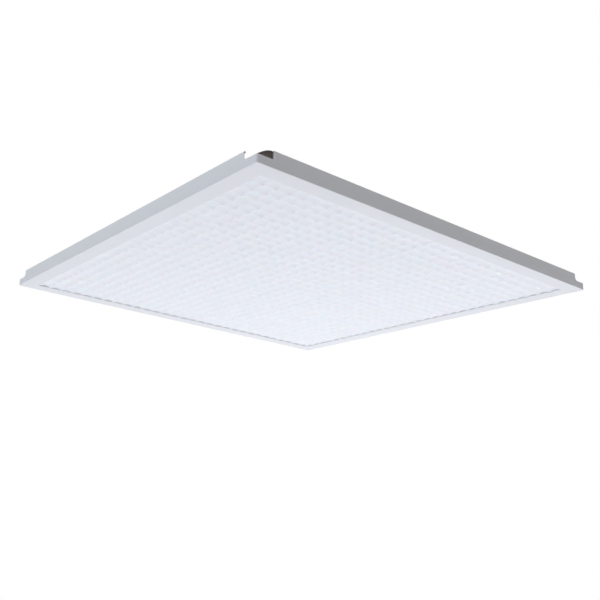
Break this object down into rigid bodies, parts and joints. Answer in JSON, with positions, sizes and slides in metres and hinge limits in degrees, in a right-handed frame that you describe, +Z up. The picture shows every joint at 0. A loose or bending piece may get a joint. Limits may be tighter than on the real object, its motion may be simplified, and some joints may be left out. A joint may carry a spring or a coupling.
{
  "type": "recessed troffer light",
  "caption": "Square recessed ceiling light for a tile grid: folded steel frame, two diffuser trays with hollowed cells, pressed back pan, LED boards, driver box with hinged cover.",
  "frame": {"origin": "centre of the bezel's visible face, which lies on the ceiling grid", "axes": "+Z up into the ceiling void; the seam of the diffuser runs along Y and the cable gland points along -Y"},
  "size_m": [0.595, 0.595, 0.067],
  "materials": {
    "white_steel": "satin white powder coat",
    "diffuser": "moulded translucent white acrylic",
    "pan_steel": "satin white powder coat",
    "zinc_steel": "bright zinc plated",
    "rivet_metal": "plain blind rivets",
    "brass": "plain",
    "dark_nylon": "dark brown moulded nylon",
    "black_nylon": "black moulded nylon",
    "grey_nylon": "grey moulded nylon",
    "board_white": "white solder mask",
    "reflector_white": "matt white film",
    "lamp_phosphor": "yellow phosphor",
    "clear_acrylic": "clear moulded optic",
    "connector_white": "white moulded case",
    "block_grey": "light grey moulding",
    "lever_orange": "orange moulding",
    "wire_brown": "brown insulation",
    "wire_blue": "blue insulation",
    "wire_green": "green and yellow insulation",
    "wire_white": "white insulation",
    "rubber_black": "black rubber"
  },
  "bodies": {
    "root": {"back_pan": "pan_steel", "board_connectors": "connector_white", "board_rivets": "rivet_metal", "box_rivets": "rivet_metal", "cable_gland": "black_nylon", "clip_pivots": "zinc_steel", "corner_block_far": "grey_nylon", "corner_block_left": "grey_nylon", "corner_block_near": "grey_nylon", "corner_block_right": "grey_nylon", "diffuser_left": "diffuser", "diffuser_right": "diffuser", "driver_box": "pan_steel", "driver_screws": "zinc_steel", "earth_nut": "brass", "earth_stud": "zinc_steel", "earth_wire": "wire_green", "face_frame": "white_steel", "gland_nut": "black_nylon", "hanger_left_back": "zinc_steel", "hanger_left_front": "zinc_steel", "hanger_right_back": "zinc_steel", "hanger_right_front": "zinc_steel", "hanger_rivets": "rivet_metal", "hinge_pins": "zinc_steel", "lead_grommet": "rubber_black", "led_board_1": "board_white", "led_board_2": "board_white", "led_board_3": "board_white", "led_board_4": "board_white", "led_board_5": "board_white", "led_board_6": "board_white", "led_chips": "lamp_phosphor", "led_driver": "connector_white", "led_optics": "clear_acrylic", "line_wire": "wire_brown", "link_wires": "wire_white", "neutral_wire": "wire_blue", "output_leads": "wire_white", "pan_screws": "zinc_steel", "reflector_sheet": "reflector_white", "seam_channel": "white_steel", "side_bracket_back": "pan_steel", "side_bracket_front": "pan_steel", "side_bracket_left": "pan_steel", "side_bracket_right": "pan_steel", "terminal_block": "block_grey", "terminal_screw": "zinc_steel"},
    "near_clip": {"near_clip": "dark_nylon"},
    "far_clip": {"far_clip": "dark_nylon"},
    "driver_cover": {"driver_cover": "pan_steel"},
    "line_lever": {"line_lever": "lever_orange"},
    "neutral_lever": {"neutral_lever": "lever_orange"},
    "earth_lever": {"earth_lever": "lever_orange"}
  },
  "joints": [
    {"name": "near_clip_swing", "type": "hinge", "parent": "root", "child": "near_clip", "pos_m": [-0.2905, -0.2895, 0.011], "axis": [0, 0, -1], "range_deg": [0, 90]},
    {"name": "far_clip_swing", "type": "hinge", "parent": "root", "child": "far_clip", "pos_m": [0.2905, 0.2895, 0.011], "axis": [0, 0, -1], "range_deg": [0, 90]},
    {"name": "cover_hinge", "type": "hinge", "parent": "root", "child": "driver_cover", "pos_m": [-0.0432, 0.085, 0.0641], "axis": [0, -1, 0], "range_deg": [0, 105]},
    {"name": "line_lever_hinge", "type": "hinge", "parent": "root", "child": "line_lever", "pos_m": [-0.011, -0.046, 0.0441], "axis": [-1, 0, 0], "range_deg": [0, 85]},
    {"name": "neutral_lever_hinge", "type": "hinge", "parent": "root", "child": "neutral_lever", "pos_m": [0, -0.046, 0.0441], "axis": [-1, 0, 0], "range_deg": [0, 85]},
    {"name": "earth_lever_hinge", "type": "hinge", "parent": "root", "child": "earth_lever", "pos_m": [0.011, -0.046, 0.0441], "axis": [-1, 0, 0], "range_deg": [0, 85]}
  ]
}
